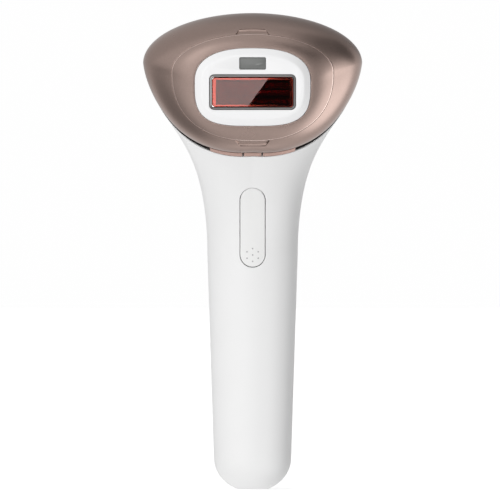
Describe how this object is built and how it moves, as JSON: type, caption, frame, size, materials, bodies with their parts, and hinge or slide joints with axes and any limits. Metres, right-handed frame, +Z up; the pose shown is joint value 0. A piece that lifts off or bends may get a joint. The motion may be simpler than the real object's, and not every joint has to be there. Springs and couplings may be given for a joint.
{
  "type": "light pulse hair remover",
  "caption": "Handheld light-pulse hair remover: a slim upright handle that flares into an egg-shaped head with a pull-off window attachment, trigger button and rear controls.",
  "frame": {"origin": "centre of the bounding box in x and y, at the lowest point of the handle's rounded end", "axes": "+Z up the handle to the head, the treatment window faces -Y, +X is to the right of someone who looks at the window"},
  "size_m": [0.092, 0.0666, 0.2006],
  "materials": {
    "white_gloss": "glossy moulded plastic",
    "bronze_satin": "satin metallic lacquer on plastic",
    "copper_trim": "metallised plastic trim",
    "black_plastic": "fine-grained",
    "seal_grey": "smooth, metallic grey",
    "red_glass": "polished, dyed red",
    "clear_glass": "polished",
    "sensor_grey": "smooth, translucent",
    "steel": "drawn",
    "mirror_aluminium": "mirror-rolled",
    "gold_contact": "gold flash",
    "circuit_board": "solder mask",
    "capacitor_sleeve": "heat-shrunk sleeve",
    "cell_sleeve": "heat-shrunk sleeve",
    "ferrite": "sintered"
  },
  "bodies": {
    "body": {"battery_cell": "cell_sleeve", "button_axle": "steel", "button_bracket": "steel", "button_spring": "steel", "chassis": "black_plastic", "chassis_screw_1": "steel", "chassis_screw_2": "steel", "chassis_screw_3": "steel", "chassis_screw_4": "steel", "collar_trim": "copper_trim", "contact_block": "black_plastic", "contact_pin_1": "gold_contact", "contact_pin_2": "gold_contact", "contact_pin_3": "gold_contact", "control_chip": "black_plastic", "fan_housing": "black_plastic", "filter_glass": "red_glass", "flash_capacitor": "capacitor_sleeve", "flash_lamp": "clear_glass", "flash_switch": "black_plastic", "front_shell": "white_gloss", "head_bulkhead": "white_gloss", "head_ring": "bronze_satin", "intensity_switch": "black_plastic", "lamp_cap_left": "steel", "lamp_cap_right": "steel", "lamp_carrier": "black_plastic", "light_guide": "clear_glass", "main_board": "circuit_board", "power_socket": "black_plastic", "power_switch": "black_plastic", "power_transformer": "ferrite", "rear_board": "circuit_board", "rear_shell": "white_gloss", "reflector": "mirror_aluminium", "socket_pin": "steel", "switch_board": "circuit_board", "trigger_coil": "ferrite", "vent_collar": "black_plastic"},
    "attachment": {"attachment_skirt": "bronze_satin", "attachment_base": "black_plastic", "window_seal": "seal_grey", "window_glass": "red_glass", "light_duct": "mirror_aluminium", "contact_board": "gold_contact", "frame_spring_1": "steel", "frame_spring_2": "steel", "frame_spring_3": "steel", "frame_spring_4": "steel", "frame_switch_left": "black_plastic", "frame_switch_right": "black_plastic"},
    "skin_frame": {"skin_frame": "white_gloss", "sensor_lens": "sensor_grey"},
    "flash_button": {"flash_button": "white_gloss"},
    "flash_plunger": {"flash_plunger": "copper_trim"},
    "power_button": {"power_button": "white_gloss"},
    "intensity_button": {"intensity_button": "white_gloss"},
    "fan_rotor": {"fan_impeller": "black_plastic"}
  },
  "joints": [
    {"name": "attachment_pull", "type": "slide", "parent": "body", "child": "attachment", "axis": [0, -1, 0], "range_m": [0, 0.04]},
    {"name": "skin_frame_press", "type": "slide", "parent": "attachment", "child": "skin_frame", "axis": [0, 1, 0], "range_m": [0, 0.001], "stiffness_N_per_m": 1000, "springref_m": -0.001, "deforming": ["frame_spring_1", "frame_spring_2", "frame_spring_3", "frame_spring_4"]},
    {"name": "flash_button_press", "type": "hinge", "parent": "body", "child": "flash_button", "pos_m": [0, 0.00135, 0.1238], "axis": [1, 0, 0], "range_deg": [0, 2], "stiffness_Nm_per_rad": 0.25, "springref_deg": -2.86, "deforming": ["button_spring"]},
    {"name": "flash_plunger_press", "type": "slide", "parent": "body", "child": "flash_plunger", "axis": [0, 1, 0], "range_m": [0, 0.001]},
    {"name": "power_button_press", "type": "slide", "parent": "body", "child": "power_button", "axis": [0, -1, 0], "range_m": [0, 0.0005], "stiffness_N_per_m": 800, "springref_m": -0.001},
    {"name": "intensity_button_press", "type": "slide", "parent": "body", "child": "intensity_button", "axis": [0, -1, 0], "range_m": [0, 0.0005], "stiffness_N_per_m": 800, "springref_m": -0.001},
    {"name": "fan_spin", "type": "hinge", "parent": "body", "child": "fan_rotor", "pos_m": [0, 0.00945, 0.164], "axis": [0, 1, 0], "continuous": true}
  ],
  "couplings": [
    {"joint": "flash_plunger_press", "follows": "flash_button_press", "m_per_rad": 0.0249}
  ]
}
